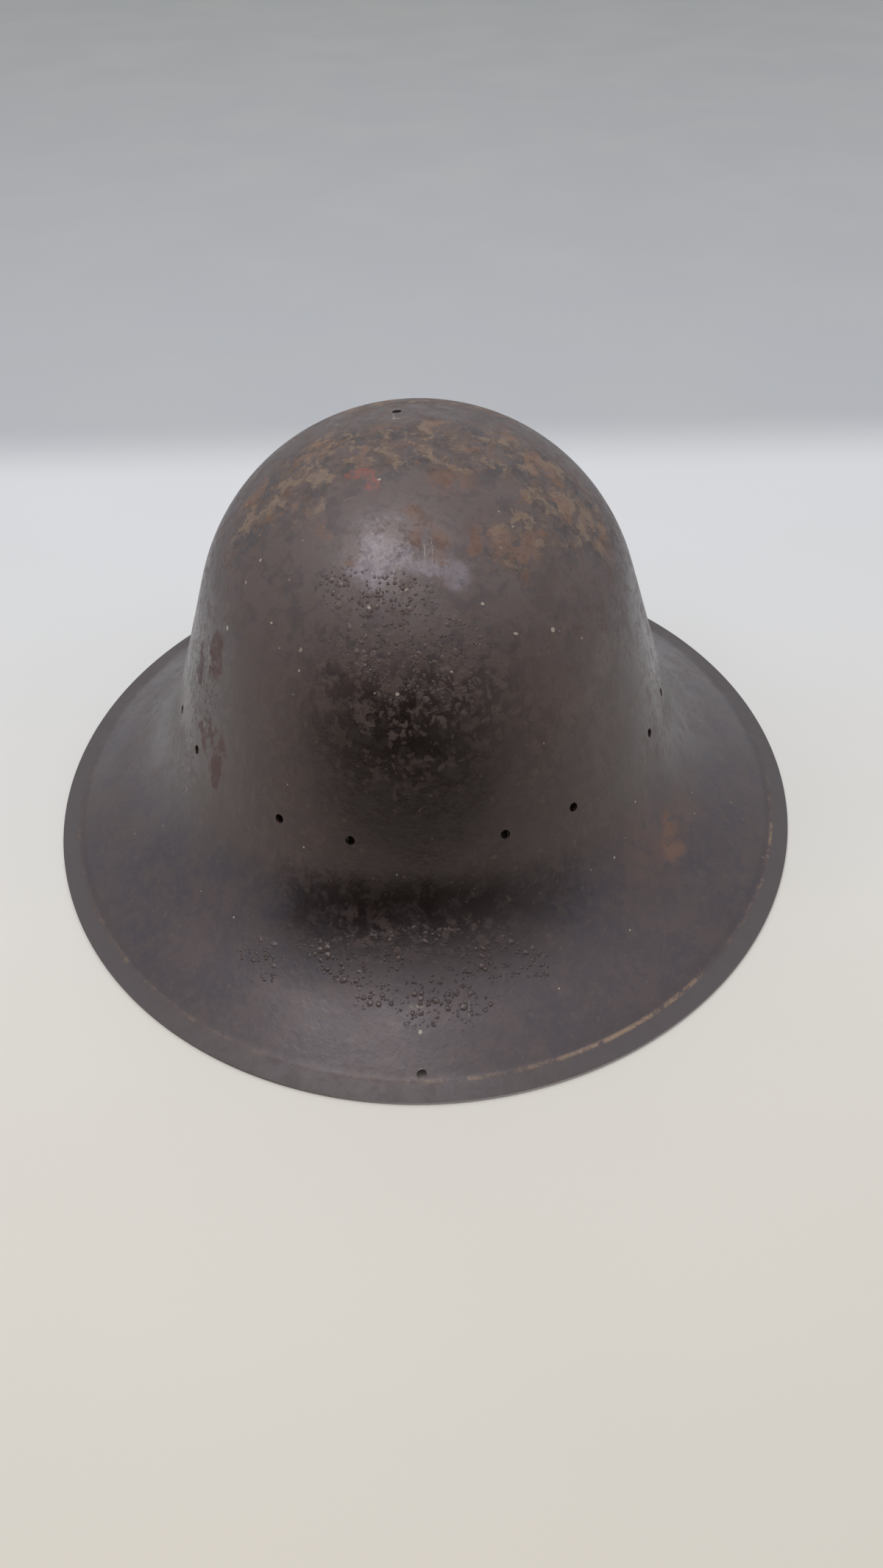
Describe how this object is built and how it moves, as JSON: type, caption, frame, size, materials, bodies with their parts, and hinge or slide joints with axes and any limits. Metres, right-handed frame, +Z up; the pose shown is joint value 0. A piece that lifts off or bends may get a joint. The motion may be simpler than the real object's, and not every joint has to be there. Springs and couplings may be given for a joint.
{
  "type": "civil defence helmet",
  "caption": "Tall oval steel helmet with a wide sloping brim, a webbing cradle liner, leathercloth headband and a swinging chin strap.",
  "frame": {"origin": "centre of the rim, on the plane that the helmet stands on", "axes": "+Z up through the crown, -Y to the front of the helmet, +X to the right of the picture, which is the wearer's left"},
  "size_m": [0.29, 0.3162, 0.1504],
  "materials": {
    "old_paint": "worn satin paint, mottled with rust",
    "leathercloth": "grained, matte",
    "sweat_leather": "smooth, worn",
    "webbing": "woven tape",
    "bare_steel": "dull, aged"
  },
  "bodies": {
    "helmet": {"shell": "old_paint", "headband": "leathercloth", "sweatband": "sweat_leather", "headband_join_patch": "leathercloth", "crown_patch_top": "leathercloth", "crown_patch_under": "leathercloth", "cradle_strap_front_left": "webbing", "cradle_strap_side_front_left": "webbing", "cradle_strap_side_rear_left": "webbing", "cradle_strap_rear_left": "webbing", "cradle_strap_rear_right": "webbing", "cradle_strap_side_rear_right": "webbing", "cradle_strap_side_front_right": "webbing", "cradle_strap_front_right": "webbing", "hanger_loop_front_left": "webbing", "hanger_loop_side_front_left": "webbing", "hanger_loop_side_rear_left": "webbing", "hanger_loop_rear_left": "webbing", "hanger_loop_rear_right": "webbing", "hanger_loop_side_rear_right": "webbing", "hanger_loop_side_front_right": "webbing", "hanger_loop_front_right": "webbing", "chin_tab_left": "leathercloth", "chin_rivet_left": "bare_steel", "chin_washer_left": "bare_steel", "chin_tab_right": "leathercloth", "chin_rivet_right": "bare_steel", "chin_washer_right": "bare_steel"},
    "chin_strap": {"chin_strap_long": "webbing", "chin_strap_short": "webbing", "slide_buckle": "bare_steel", "strap_tip": "bare_steel"},
    "keeper": {"strap_keeper": "sweat_leather"}
  },
  "joints": [
    {"name": "chin_strap_swing", "type": "hinge", "parent": "helmet", "child": "chin_strap", "pos_m": [0, 0, 0.0102], "axis": [1, 0, 0], "range_deg": [0, 180]},
    {"name": "keeper_slide", "type": "slide", "parent": "chin_strap", "child": "keeper", "axis": [1, 0, 0], "range_m": [-0.006, 0.025]}
  ]
}
